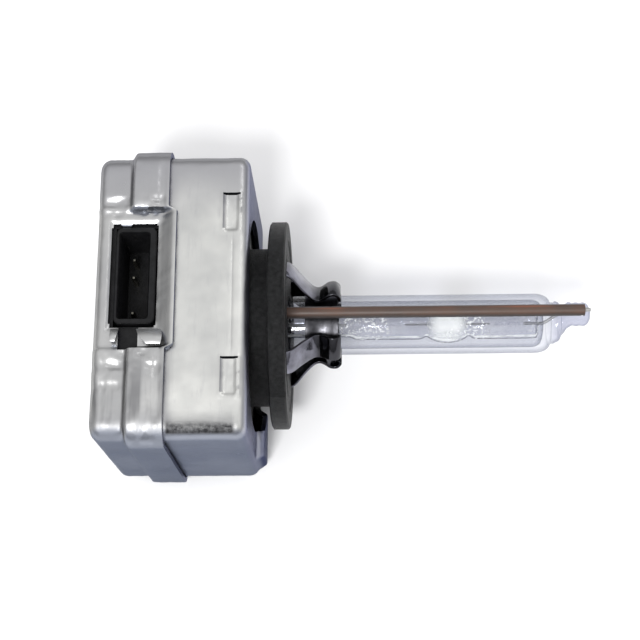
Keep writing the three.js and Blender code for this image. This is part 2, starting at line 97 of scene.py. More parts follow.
# Plug socket
SOCKET_X = (-25.0, -19.0)
SOCKET_Y = (-4.05, 10.95)
SOCKET_WALLS_X = (0.6, 1.1)
SOCKET_WALL_Y = 0.9
SOCKET_CORNER = 0.95
SOCKET_BOTTOM = 4.6
SOCKET_FLOOR = 6.2
SOCKET_MOUTH = 14.9

# Base
FLANGE_R = 16.15
FLANGE_REAR = -2.6
NECK_R = 12.6
NECK_REAR = -7.5
NECK_FLAT_Y = 9.95
SET_BACK = (-57.5, -2.0)
RIM_SET_BACK = 0.35
KEY_ANGLE = -11

# Burner holder
LEG_ANGLES = (40, 130, 220, 310)
LEG_WIDTH = 4.0
LEG_SHEET = 0.45
LEG_ROUTE = [
    (-1.6, 10.2), (-0.2, 10.2), (0.7, 9.7), (2.2, 7.7), (3.6, 6.1), (4.6, 5.62),
    (5.4, 5.9), (6.3, 6.55), (7.2, 6.65), (7.8, 6.15), (7.9, 5.6),
]
CLAMP = (2.6, 7.7, 4.75, 5.1)

# Burner
TIP_OFFSET = (1.05, 1.1)
JACKET_R = 4.6
JACKET_BORE_R = 3.7
ROD_R = 0.9
ROD_BORE_R = 0.45
ROD_Z = 6.6
ROD_X = (-3.9, 44.9)
ARC_CENTRE = 24.6
ARC_TUBE_R = 1.95
CHAMBER_HALF = 3.1

# Stage
FLOOR_Z = -16.5
FLOOR_HALF = 4000.0


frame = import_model()

# ---------------------------------------------------------------- small maths


def ramp(x, a, b):
    """0 before a, 1 after b, and smooth between."""
    t = min(1.0, max(0.0, (x - a) / (b - a)))
    return t * t * (3 - 2 * t)


def plateau(x, low, high, soft):
    return ramp(x, low, low + soft) * (1 - ramp(x, high - soft, high))


def spread(low, high, step, marks=()):
    """Places from low to high, about step apart, with every mark among them."""
    stops = sorted({low, high, *[m for m in marks if low < m < high]})
    places = []
    for a, b in zip(stops, stops[1:]):
        count = max(1, round((b - a) / step))
        places += [a + (b - a) * i / count for i in range(count)]
    return places + [high]


# ---------------------------------------------------------------- materials


def graph(name):
    material = bpy.data.materials.new(name)
    material.use_nodes = True
    tree = material.node_tree
    tree.nodes.clear()
    return material, tree


def add(tree, kind, **sockets):
    node = tree.nodes.new(kind)
    for key, value in sockets.items():
        node.inputs[key.replace("_", " ")].default_value = value
    return node


def noise_node(tree, vector, scale, detail=4.0, roughness=0.55):
    node = add(tree, "ShaderNodeTexNoise", Scale=scale, Detail=detail, Roughness=roughness)
    tree.links.new(vector, node.inputs["Vector"])
    return node.outputs["Fac"]


def remap(tree, value, low, high, a=0.3, b=0.7):
    node = add(tree, "ShaderNodeMapRange")
    tree.links.new(value, node.inputs["Value"])
    for key, v in (("From Min", a), ("From Max", b), ("To Min", low), ("To Max", high)):
        node.inputs[key].default_value = v
    return node.outputs["Result"]


def rising(tree, place, low, high, most=1.0):
    """0 below the low place and most above the high one, both in millimetres."""
    return remap(tree, place, 0.0, most, low * MM, high * MM)


def falling(tree, place, low, high, most=1.0):
    return remap(tree, place, most, 0.0, low * MM, high * MM)


def axes(tree, vector):
    """The X, Y and Z of a vector."""
    parts = tree.nodes.new("ShaderNodeSeparateXYZ")
    tree.links.new(vector, parts.inputs["Vector"])
    return [parts.outputs[axis] for axis in "XYZ"]


def mix_colour(tree, factor, a, b):
    """Mixes two colours, or two grey levels; each is a colour or a socket."""
    node = tree.nodes.new("ShaderNodeMix")
    node.data_type = "RGBA"
    tree.links.new(factor, node.inputs[0])
    for index, colour in ((6, a), (7, b)):
        if isinstance(colour, tuple):
            node.inputs[index].default_value = (*colour, 1)
        else:
            tree.links.new(colour, node.inputs[index])
    return node.outputs[2]


def multiply(tree, first, *others):
    for other in others:
        node = tree.nodes.new("ShaderNodeMath")
        node.operation = "MULTIPLY"
        tree.links.new(first, node.inputs[0])
        tree.links.new(other, node.inputs[1])
        first = node.outputs[0]
    return first


def object_place(tree, stretch=(1, 1, 1)):
    coords = tree.nodes.new("ShaderNodeTexCoord")
    mapping = add(tree, "ShaderNodeMapping", Scale=stretch)
    tree.links.new(coords.outputs["Object"], mapping.inputs["Vector"])
    return mapping.outputs["Vector"]


def finish_surface(tree, colour, rough, bump_height, bump, metallic, extra):
    shader = add(tree, "ShaderNodeBsdfPrincipled", Metallic=metallic)
    for key, value in extra.items():
        shader.inputs[key].default_value = value
    tree.links.new(colour, shader.inputs["Base Color"])
    tree.links.new(rough, shader.inputs["Roughness"])
    bump_node = add(tree, "ShaderNodeBump", Strength=bump, Distance=0.0001)
    tree.links.new(bump_height, bump_node.inputs["Height"])
    tree.links.new(bump_node.outputs["Normal"], shader.inputs["Normal"])
    out = tree.nodes.new("ShaderNodeOutputMaterial")
    tree.links.new(shader.outputs["BSDF"], out.inputs["Surface"])
    return shader


def plain(
    name, dark, light, rough, scale=500.0, bump=0.3, metallic=0.0, stretch=(1, 1, 1), tail=None, **extra,
):
    """Two close tones mottled together, with uneven gloss and a fine relief.

    The tail, if any, is where along X the tone changes, and what it changes to.
    """
    material, tree = graph(name)
    place = object_place(tree, stretch)
    broad = noise_node(tree, place, scale)
    fine = noise_node(tree, place, scale * 6, 6.0)
    colour = mix_colour(tree, remap(tree, broad, 0.0, 1.0), dark, light)
    if tail:
        amount = rising(tree, axes(tree, object_place(tree))[0], tail[0], tail[1])
        colour = mix_colour(tree, amount, colour, tail[2])
    roughness = remap(tree, fine, rough[0], rough[1])
    keys = {k.replace("_", " "): v for k, v in extra.items()}
    finish_surface(tree, colour, roughness, fine, bump, metallic, keys)
    return material


def sheet_metal():
    """Tinned sheet: mottled and worn, with painted shade that makes the walls that look down or forward
    darker and bluer, and more painted shade in the rear cover's creases, along the crease between the lances
    and towards the upper end.
    """
    material, tree = graph("tinned_sheet")
    place = object_place(tree)
    broad = noise_node(tree, place, 110.0, 3.0)
    grain = noise_node(tree, place, 1900.0, 6.0)
    scuff = noise_node(tree, object_place(tree, (1.0, 0.12, 1.0)), 1500.0, 8.0, 0.7)
    tone = mix_colour(tree, remap(tree, broad, 0.0, 1.0), (0.47, 0.475, 0.465), (0.68, 0.68, 0.65))
    tone = mix_colour(tree, remap(tree, scuff, 0.0, 0.35, 0.55, 0.75), tone, (0.36, 0.36, 0.375))

    x, y, z = axes(tree, place)
    geometry = tree.nodes.new("ShaderNodeNewGeometry")
    facing_x, facing_y, _ = axes(tree, geometry.outputs["Normal"])
    behind = falling(tree, x, BAND_FRONT, BAND_FRONT + 1.5, 0.55)
    near_side = rising(tree, z, CAN_HALF_Z - 2.7, CAN_HALF_Z - 1.7)
    tone = mix_colour(tree, behind, tone, (0.342, 0.342, 0.35))

    # painted shade: darker streaks in columns on the lower rear cover, on the socket side, stand for shade in
    # its creases
    columns = noise_node(tree, object_place(tree, (1.0, 0.1, 1.0)), 420.0, 3.0)
    painted_crease_shade = multiply(
        tree, behind, near_side, falling(tree, y, -14.0, -7.0), remap(tree, columns, 0.0, 1.4, 0.42, 0.58),
    )
    tone = mix_colour(tree, painted_crease_shade, tone, (0.2, 0.2, 0.205))
    # the lower edge there is rubbed rougher, and painted darker in streaks as painted shade that breaks up
    # its highlight
    rubbed_and_shaded = multiply(
        tree, behind, near_side, falling(tree, y, -18.8, -16.8), remap(tree, columns, 1.0, 0.0, 0.44, 0.54),
    )
    tone = mix_colour(tree, rubbed_and_shaded, tone, (0.26, 0.262, 0.275))
    # painted shade: a darker line along the crease that joins the two lances
    crease = multiply(
        tree, rising(tree, y, CREASE_Y[0] - 0.5, CREASE_Y[0] + 2, 0.5),
        falling(tree, y, CREASE_Y[1] - 2, CREASE_Y[1] + 0.5),
        rising(tree, z, CAN_HALF_Z - 0.7, CAN_HALF_Z - 0.4),
        rising(tree, x, CREASE_X - CREASE_HALF, CREASE_X), falling(tree, x, CREASE_X, CREASE_X + CREASE_HALF),
    )
    tone = mix_colour(tree, crease, tone, (0.3, 0.3, 0.3))
    # painted shade: the can is darker towards its upper end
    tone = mix_colour(tree, rising(tree, y, 12.0, 20.0, 0.9), tone, (0.35, 0.35, 0.365))

    # painted shade: walls that look down or forward are darker and bluer, and so is the boss on the front
    # wall
    painted_shade_down = remap(tree, facing_y, 1.0, 0.0, -0.66, -0.36)
    ahead = remap(tree, facing_x, 0.0, 1.0, 0.45, 0.95)
    tone = mix_colour(tree, painted_shade_down, tone, mix_colour(tree, behind, (0.295, 0.313, 0.362), (0.272, 0.29, 0.335)))
    tone = mix_colour(tree, ahead, tone, (0.31, 0.32, 0.39))
    tone = mix_colour(tree, rising(tree, x, CAN_FRONT + 0.15, CAN_FRONT + 0.7), tone, (0.18, 0.19, 0.25))

    # the sheet is scuffed where it bends over the lower edge of the socket side
    strip = multiply(
        tree, rising(tree, y, SCUFF_Y - SCUFF_HALF, SCUFF_Y - SCUFF_HALF + 0.3),
        rising(tree, x, BAND_FRONT + 0.1, BAND_FRONT + 0.6),
        falling(tree, x, CAN_FRONT - 2.2, CAN_FRONT - 1.0),
        rising(tree, z, CAN_HALF_Z - 2.4, CAN_HALF_Z - 1.4),
    )
    stain = noise_node(tree, object_place(tree, (0.3, 1, 1)), 1100.0, 6.0)
    speckle = noise_node(tree, place, 1300.0, 8.0, 0.8)
    dull = multiply(
        tree, strip, falling(tree, y, SCUFF_Y + 0.3, SCUFF_Y + 2.6),
        remap(tree, stain, 0.7, 1.0, 0.35, 0.65),
    )
    worn = multiply(
        tree, strip, falling(tree, y, SCUFF_Y + 0.2, SCUFF_Y + 1.1),
        remap(tree, speckle, 0.55, 1.0, 0.42, 0.58),
    )
    tone = mix_colour(tree, dull, tone, (0.2, 0.2, 0.205))
    tone = mix_colour(tree, worn, tone, (0.03, 0.03, 0.032))
    roughness = mix_colour(tree, dull, remap(tree, broad, 0.27, 0.42), (0.65, 0.65, 0.65))
    roughness = mix_colour(tree, rubbed_and_shaded, roughness, (0.7, 0.7, 0.7))
    shader = finish_surface(tree, tone, roughness, grain, 0.12, 1.0, {})
    tree.links.new(tone, shader.inputs["Specular Tint"])
    dents = add(tree, "ShaderNodeBump", Strength=0.35, Distance=0.0006)
    tree.links.new(broad, dents.inputs["Height"])
    tree.links.new(dents.outputs["Normal"], shader.inputs["Normal"].links[0].from_node.inputs["Normal"])
    return material


def thin_glass(name, tint, edge, fade, gloss_edge, streak, relief, tail=None):
    """Thin clear glass: light passes straight through, and it darkens and shines towards its edges.

    It goes from tint to edge as its surface turns away through the fade range. The tail, if any, is
    where along X the tint changes, and what it changes to.
    """
    material, tree = graph(name)
    place = object_place(tree, (0.25, 1, 1))
    lines = noise_node(tree, place, 700.0, 3.0)
    facing = add(tree, "ShaderNodeLayerWeight", Blend=0.45)
    edge_amount = remap(tree, facing.outputs["Facing"], 0.0, 1.0, *fade)
    colour = mix_colour(tree, edge_amount, tint, edge)
    colour = mix_colour(tree, remap(tree, lines, 0.0, streak), colour, (0.62, 0.65, 0.74))
    if tail:
        amount = rising(tree, axes(tree, object_place(tree))[0], tail[0], tail[1])
        colour = mix_colour(tree, amount, colour, mix_colour(tree, edge_amount, tail[2], edge))
    clear = tree.nodes.new("ShaderNodeBsdfTransparent")
    tree.links.new(colour, clear.inputs["Color"])
    shine = add(tree, "ShaderNodeBsdfGlossy", Roughness=0.05)
    bump = add(tree, "ShaderNodeBump", Strength=relief, Distance=0.0002)
    tree.links.new(lines, bump.inputs["Height"])
    tree.links.new(bump.outputs["Normal"], shine.inputs["Normal"])
    amount = remap(tree, facing.outputs["Facing"], 0.04, gloss_edge, 0.5, 1.0)
    both = tree.nodes.new("ShaderNodeMixShader")
    tree.links.new(amount, both.inputs["Fac"])
    tree.links.new(clear.outputs["BSDF"], both.inputs[1])
    tree.links.new(shine.outputs["BSDF"], both.inputs[2])
    out = tree.nodes.new("ShaderNodeOutputMaterial")
    tree.links.new(both.outputs["Shader"], out.inputs["Surface"])
    return material


def arc_quartz():
    """Clear quartz seen mostly by its edges, with a milky deposit around the discharge chamber, and painted
    highlights along its outline and on its pinched ends.
    """
    material = thin_glass(
        "arc_quartz", (0.985, 0.985, 0.995), (0.32, 0.33, 0.38), (0.56, 0.72), 0.6, 0.25, 1.0,
    )
    tree = material.node_tree
    out = next(n for n in tree.nodes if n.type == "OUTPUT_MATERIAL")
    clear = out.inputs["Surface"].links[0].from_socket
    # this milky shader serves the deposit and also the painted highlights below
    milk_and_painted_highlight = tree.nodes.new("ShaderNodeAddShader")
    for i, (kind, colour) in enumerate((
        ("ShaderNodeBsdfDiffuse", (0.9, 0.9, 0.85, 1)), ("ShaderNodeBsdfTranslucent", (0.35, 0.35, 0.33, 1)),
    )):
        half = add(tree, kind, Color=colour)
        tree.links.new(half.outputs["BSDF"], milk_and_painted_highlight.inputs[i])
    place = object_place(tree)
    x, y, _ = axes(tree, place)
    rise = rising(tree, x, ARC_CENTRE - CHAMBER_HALF, ARC_CENTRE - 1.3)
    fall = falling(tree, x, ARC_CENTRE + 1.3, ARC_CENTRE + CHAMBER_HALF)
    over = remap(tree, y, 0.12, 1.0, -2.3 * MM, -1.3 * MM)
    amount = multiply(tree, rise, fall, over, remap(tree, noise_node(tree, place, 420.0), 0.7, 1.0))
    # painted highlight: a broken bright line runs just inside the outline, and painted glints dot the pinched
    # ends
    facing = add(tree, "ShaderNodeLayerWeight", Blend=0.45).outputs["Facing"]
    broken = remap(tree, noise_node(tree, object_place(tree, (0.3, 1, 1)), 900.0), 0.0, 1.0, 0.45, 0.55)
    painted_highlight_line = multiply(
        tree, remap(tree, facing, 0.0, 1.0, 0.3, 0.36), remap(tree, facing, 1.0, 0.0, 0.5, 0.56), broken,
    )
    ends = add(tree, "ShaderNodeTexNoise", Scale=130.0, Detail=0.0)
    tree.links.new(object_place(tree, (1, 0, 0)), ends.inputs["Vector"])
    painted_glints = multiply(
        tree, remap(tree, ends.outputs["Fac"], 0.0, 1.0, 0.47, 0.52),
        remap(tree, noise_node(tree, place, 1900.0, 2.0), 0.0, 0.9, 0.58, 0.62),
    )
    for more in (painted_highlight_line, painted_glints):
        most = tree.nodes.new("ShaderNodeMath")
        most.operation = "MAXIMUM"
        tree.links.new(amount, most.inputs[0])
        tree.links.new(more, most.inputs[1])
        amount = most.outputs[0]
    both = tree.nodes.new("ShaderNodeMixShader")
    tree.links.new(amount, both.inputs["Fac"])
    tree.links.new(clear, both.inputs[1])
    tree.links.new(milk_and_painted_highlight.outputs["Shader"], both.inputs[2])
    tree.links.new(both.outputs["Shader"], out.inputs["Surface"])
    return material


def brown_ceramic():
    """Brown sleeve with faint orange and green bands of tarnish along it, a painted orange highlight line,
    and painted shade on its two long sides.
    """
    material, tree = graph("brown_ceramic")
    bands = noise_node(tree, object_place(tree, (0.35, 1, 1)), 260.0, 2.0)
    grain = noise_node(tree, object_place(tree), 3000.0, 6.0)
    colour = mix_colour(tree, remap(tree, bands, 0.0, 1.0), (0.036, 0.024, 0.02), (0.105, 0.045, 0.026))
    colour = mix_colour(tree, remap(tree, grain, 0.0, 0.25), colour, (0.05, 0.06, 0.045))
    geometry = tree.nodes.new("ShaderNodeNewGeometry")
    _, facing_y, _ = axes(tree, geometry.outputs["Normal"])
    # painted highlight: a thin orange line where the surface turns partway towards the sides
    streak = multiply(
        tree, remap(tree, facing_y, 0.0, 1.0, 0.2, 0.4), remap(tree, facing_y, 1.0, 0.0, 0.5, 0.7),
        remap(tree, bands, 0.1, 0.8, 0.45, 0.6),
    )
    colour = mix_colour(tree, streak, colour, (0.2, 0.065, 0.035))
    # painted shade: the two long sides are darker
    painted_side_shade = (0.016, 0.014, 0.014)
    colour = mix_colour(tree, remap(tree, facing_y, 0.0, 0.85, 0.6, 0.95), colour, painted_side_shade)
    colour = mix_colour(tree, remap(tree, facing_y, 0.85, 0.0, -0.95, -0.65), colour, painted_side_shade)
    finish_surface(tree, colour, remap(tree, bands, 0.35, 0.55), grain, 0.25, 0.0, {})
    return material


sheet = sheet_metal()
black = plain("black_plastic", (0.003, 0.003, 0.0035), (0.009, 0.009, 0.01), (0.3, 0.5), 900.0, 0.5,
              Specular_IOR_Level=0.2)
black_base = plain("black_base", (0.0012, 0.0014, 0.0016), (0.014, 0.0145, 0.015), (0.3, 0.65), 1500.0, 1.6,
                   Specular_IOR_Level=0.2)
# painted shade: the spring steel turns dark past 3.6 mm along X, where the holder legs run under the clamp
spring = plain("spring_steel", (0.085, 0.085, 0.1), (0.26, 0.26, 0.31), (0.1, 0.2), 350.0, 0.12, 1.0,
               tail=(3.6, 4.6, (0.05, 0.05, 0.056)))
pin_metal = plain("pin_metal", (0.12, 0.115, 0.1), (0.26, 0.25, 0.21), (0.2, 0.35), 900.0, 0.1, 1.0)
copper = plain("copper_wire", (0.45, 0.2, 0.1), (0.75, 0.38, 0.2), (0.25, 0.4), 700.0, 0.2, 1.0, (1, 14, 1))
refractory = plain("refractory_wire", (0.24, 0.24, 0.24), (0.45, 0.45, 0.44), (0.3, 0.45), 900.0, 0.2, 1.0)
foil = plain("foil_metal", (0.5, 0.5, 0.53), (0.75, 0.75, 0.78), (0.2, 0.35), 800.0, 0.2, 1.0)
clamp_steel = plain("clamp_steel", (0.03, 0.03, 0.033), (0.15, 0.15, 0.165), (0.25, 0.45), 300.0, 0.2, 1.0,
                    Specular_Tint=(0.25, 0.25, 0.27, 1))
ceramic = brown_ceramic()
white_ceramic = plain("white_ceramic", (0.7, 0.69, 0.66), (0.85, 0.84, 0.8), (0.4, 0.6))
ferrite = plain("ferrite", (0.03, 0.03, 0.033), (0.07, 0.07, 0.075), (0.6, 0.8))
laminate = plain("board_laminate", (0.025, 0.11, 0.05), (0.05, 0.2, 0.1), (0.35, 0.5), 600.0)
resin = plain("coil_resin", (0.55, 0.49, 0.37), (0.7, 0.64, 0.5), (0.4, 0.6))
epoxy = plain("blue_epoxy", (0.04, 0.1, 0.28), (0.07, 0.16, 0.4), (0.2, 0.35))
sleeve = plain("red_sleeve", (0.32, 0.04, 0.03), (0.45, 0.07, 0.05), (0.5, 0.7))
jacket_glass = thin_glass("jacket_quartz", (0.9, 0.905, 0.923), (0.44, 0.46, 0.53), (0.35, 0.98),
                          0.5, 0.15, 0.15, tail=(40.2, 41.8, (0.72, 0.73, 0.8)))
arc_glass = arc_quartz()

# ---------------------------------------------------------------- mesh tools


def make(name, verts, faces, material, slot, nodes, sharp=35, bevel=None, thickness=None, cutters=()):
    """One shown piece from millimetre vertices; it stands for the given CAD nodes."""
    mesh = bpy.data.meshes.new(name)
    mesh.from_pydata([Vector(v) * MM for v in verts], [], faces)
    mesh.materials.append(material)
    bm = bmesh.new()
    bm.from_mesh(mesh)
    bmesh.ops.remove_doubles(bm, verts=bm.verts, dist=1e-7)
    if thickness is None:
        bmesh.ops.recalc_face_normals(bm, faces=bm.faces)
    bm.to_mesh(mesh)
    bm.free()
    mesh.shade_smooth()
    piece = bpy.data.objects.new(name, mesh)
    bpy.context.scene.collection.objects.link(piece)
    for cutter in cutters:
        boolean = piece.modifiers.new("cut", "BOOLEAN")
        boolean.operation, boolean.solver, boolean.object = "DIFFERENCE", "EXACT", cutter
    if thickness:
        solidify = piece.modifiers.new("thick", "SOLIDIFY")
        solidify.thickness, solidify.offset, solidify.use_even_offset = thickness * MM, -1, True
    if bevel:
        bevel_mod = piece.modifiers.new("edge", "BEVEL")
        bevel_mod.width, bevel_mod.segments = bevel * MM, 2
        bevel_mod.limit_method, bevel_mod.angle_limit = "ANGLE", math.radians(40)
    baked = bpy.data.meshes.new_from_object(piece.evaluated_get(bpy.context.evaluated_depsgraph_get()))
    baked.name = name
    baked.set_sharp_from_angle(angle=math.radians(sharp))
    piece.modifiers.clear()
    piece.data = baked
    for cutter in cutters:
        bpy.data.objects.remove(cutter)
    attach(piece, "root")
    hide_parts(*nodes)
    return piece


def loft(rings, closed=True, cap_start=True, cap_end=True):
    """Vertices and faces through rings that all have the same count of points."""
    verts = [p for ring in rings for p in ring]
    n = len(rings[0])
    faces = []
    for i in range(len(rings) - 1):
        for j in range(n if closed else n - 1):
            k = (j + 1) % n
            faces.append((i * n + j, (i + 1) * n + j, (i + 1) * n + k, i * n + k))
    if cap_start:
        faces.append(tuple(range(n)))
    if cap_end:
        faces.append(tuple((len(rings) - 1) * n + j for j in reversed(range(n))))
    return verts, faces


def circle(x, radius, segments, centre=(0.0, 0.0)):
    return [
        (x, centre[0] + radius * math.cos(2 * math.pi * i / segments),
         centre[1] + radius * math.sin(2 * math.pi * i / segments))
        for i in range(segments)
    ]


def lathe(profile, segments=96, centre=(0.0, 0.0), **caps):
    return loft([circle(x, r, segments, centre) for x, r in profile], **caps)


def joined(*parts):
    verts, faces = [], []
    for v, f in parts:
        base = len(verts)
        verts += v
        faces += [tuple(i + base for i in face) for face in f]
    return verts, faces


def box_mesh(x, y, z):
    rings = [[(a, b, c) for b, c in ((y[0], z[0]), (y[1], z[0]), (y[1], z[1]), (y[0], z[1]))] for a in x]
    return loft(rings)


def smooth_path(points, steps):
    """Points of a Catmull-Rom curve through the given ones."""
    pts = [Vector(p) for p in points]
    pts = [pts[0] * 2 - pts[1], *pts, pts[-1] * 2 - pts[-2]]
    spans = len(pts) - 3
    out = []
    for i in range(steps + 1):
        t = i / steps * spans
        k = min(int(t), spans - 1)
        t -= k
        a, b, c, d = pts[k:k + 4]
        out.append(0.5 * (2 * b + (c - a) * t + (2 * a - 5 * b + 4 * c - d) * t * t
                          + (3 * b - a - 3 * c + d) * t ** 3))
    return out


def tube_along(points, radius, steps, sides=16):
    path = smooth_path(points, steps)
    rings = []
    up = Vector((0, 1, 0.01)).normalized()
    for i, p in enumerate(path):
        along = (path[min(i + 1, steps)] - path[max(i - 1, 0)]).normalized()
        side = along.cross(up).normalized()
        up = side.cross(along)
        rings.append([
            tuple(p + radius * (side * math.cos(a) + up * math.sin(a)))
            for a in (2 * math.pi * j / sides for j in range(sides))
        ])
    return loft(rings)


def rounded_end(x0, x1, r0, r1, count=8):
    """Points of a quarter circle from (x0, r0) to (x1, r1), bulging outwards."""
    return [
        (x0 + (x1 - x0) * math.sin(a), r1 + (r0 - r1) * math.cos(a))
        for a in (math.pi / 2 * i / count for i in range(count + 1))
    ]


# ---------------------------------------------------------------- igniter can


def outline(half_y, half_z, corner, ys, zs, turns=8):
    """Points around the can's section with their outward directions, starting along the socket side."""
    flat_y, flat_z = half_y - corner, half_z - corner
    ring = [(y, half_z, 0, 1) for y in ys]

    def bend(cy, cz, start):
        for i in range(1, turns):
            a = start - math.pi / 2 * i / turns
            ring.append((cy + corner * math.cos(a), cz + corner * math.sin(a), math.cos(a), math.sin(a)))

    bend(CAN_CENTRE_Y + flat_y, flat_z, math.pi / 2)
    ring.extend((CAN_CENTRE_Y + half_y, z, 1, 0) for z in reversed(zs))
    bend(CAN_CENTRE_Y + flat_y, -flat_z, 0)
    ring.extend((y, -half_z, 0, -1) for y in reversed(ys))
    bend(CAN_CENTRE_Y - flat_y, -flat_z, -math.pi / 2)
    ring.extend((CAN_CENTRE_Y - half_y, z, -1, 0) for z in zs)
    bend(CAN_CENTRE_Y - flat_y, flat_z, math.pi)
    return ring


def skin_faces(rings, dropped, cap_first):
    verts, faces = loft(rings, cap_start=False, cap_end=False)
    kept = []
    for face in faces:
        centre = sum((Vector(verts[i]) for i in face), Vector()) / 4
        if not dropped(centre):
            kept.append(face)
    if cap_first:
        kept.append(tuple(range(len(rings[0]))))
    return verts, kept


def curled_tab(x, y, rise, lean):
    """A torn corner of the notch, curled up and over; a small closed strip of sheet."""
    rings = []
    steps = 12
    for i in range(steps + 1):
        t = i / steps
        a = t * math.pi * 0.6
        top = TAB_FOOT_Z + rise * math.sin(a)
        crown = 0.22 * rise * math.sin(math.pi * t)
        width = 1 - 0.45 * t * t
        middle = (x[0] + x[1]) / 2 + lean * t
        half = (x[1] - x[0]) / 2 * width
        y_here = y[0] + (y[1] - y[0]) * t
        rings.append([
            (middle - half, y_here, top - TAB_SHEET), (middle - half, y_here, top),
            (middle, y_here, top + crown), (middle + half, y_here, top),
            (middle + half, y_here, top - TAB_SHEET), (middle, y_here, top - TAB_SHEET + crown),
        ])
    return loft(rings)


def rear_cover():
    flat = CAN_HALF_Y - REAR_CORNER
    ys = spread(CAN_CENTRE_Y - flat, CAN_CENTRE_Y + flat, 0.3, (*WINDOW_Y, *NOTCH_Y, *FLAT_Y))
    zs = spread(REAR_CORNER - CAN_HALF_Z, CAN_HALF_Z - REAR_CORNER, 0.9)

    def section(x, inset):
        ring = []
        rise = BAND_RISE * ramp(x, BAND_REAR - 0.45, BAND_REAR + 0.5)
        half = (CAN_HALF_Y - inset, CAN_HALF_Z - inset)
        for y, z, ny, nz in outline(*half, REAR_CORNER - inset, ys, zs):
            lift, forward = rise, 0.0
            if nz > 0.999:
                # the wall is pressed down around the plug socket, then slopes up to the band's lip
                sunk = plateau(y, FLAT_Y[0] - 0.4, FLAT_Y[1] + 0.7, 0.7)
                forward = FLANK_REACH * sunk * ramp(x, WINDOW_X[1], BAND_FRONT)
                sunk *= 1 - ramp(x, WINDOW_X[1] + 0.2, BAND_FRONT - 0.15)
                lift = lift * (1 - sunk) - FLAT_DEPTH * sunk
                # the edge of the window is drawn in a little
                near_x = plateau(x, WINDOW_X[0] - 0.6, WINDOW_X[1] + 0.6, 0.6)
                near_y = plateau(y, WINDOW_Y[0] - 0.6, WINDOW_Y[1] + 0.6, 0.6)
                lift -= 0.3 * near_x * near_y
                # shallow folds run back from the pressed flat
                behind = 1 - ramp(x, BAND_REAR - 1.2, BAND_REAR - 0.3)
                for fold, depth in FOLDS:
                    lift -= depth * behind * math.exp(-((y - fold) / 0.75) ** 2)
                lift -= 0.3 * math.exp(-((x - DENT[0]) ** 2 + (y - DENT[1]) ** 2) / 0.5)
                # the front edge stands up a little, and long creases run down to the lower edge
                lift -= 0.14 * (1 - sunk) * plateau(x, BAND_FRONT - 1.8, BAND_FRONT - 0.25, 0.55)
                low = 1 - ramp(y, -15.0, -9.0)
                lift -= 0.2 * low * abs(noise.noise(Vector((x * 0.9, y * 0.12, 7))))
                # the sheet is crumpled above and below the pressed flat
                around = plateau(y, FLAT_Y[1] - 1.2, FLAT_Y[1] + 3, 1.2)
                around += plateau(y, FLAT_Y[0] - 5, FLAT_Y[0] + 0.3, 1.2)
                around *= plateau(x, CAN_REAR + 1, BAND_FRONT, 1.5)
                lift -= 0.5 * around * abs(noise.noise(Vector((x * 0.6, y, 4)) * 0.7))
            lift -= 0.09 * abs(noise.noise(Vector((x, y, z)) * 0.33))
            lift -= 0.05 * abs(noise.noise(Vector((x, y, z)) * 1.1))
            ring.append((x + forward, y + ny * lift, z + nz * lift))
        return ring

    first = section(CAN_REAR, REAR_EDGE)
    rings = []
    for s in (0.02, 0.1, 0.25, 0.4, 0.55, 0.7, 0.82, 0.91, 0.97):
        rings.append([(CAN_REAR, CAN_CENTRE_Y + (y - CAN_CENTRE_Y) * s, z * s) for _, y, z in first])
    for i in range(10):
        a = math.pi / 2 * i / 9
        x = CAN_REAR + REAR_EDGE * (1 - math.cos(a))
        rings.append(section(x, REAR_EDGE * (1 - math.sin(a))))
    start = CAN_REAR + REAR_EDGE
    for x in spread(start + 0.15, BAND_FRONT, 0.22, (WINDOW_X[1], *NOTCH_X)):
        rings.append(section(x, 0))

    def dropped(c):
        if c.z < NEAR_WALL_Z:
            return False
        past = [max(WINDOW_X[0] - c.x, c.x - WINDOW_X[1]), max(WINDOW_Y[0] - c.y, c.y - WINDOW_Y[1])]
        corner = math.hypot(max(0, past[0] + 0.7), max(0, past[1] + 0.7)) > 0.72
        window = max(past) < 0 and not corner
        notch = NOTCH_X[0] < c.x < NOTCH_X[1] and NOTCH_Y[0] < c.y < NOTCH_Y[1] + 0.8
        return window or notch

    return skin_faces(rings, dropped, True)


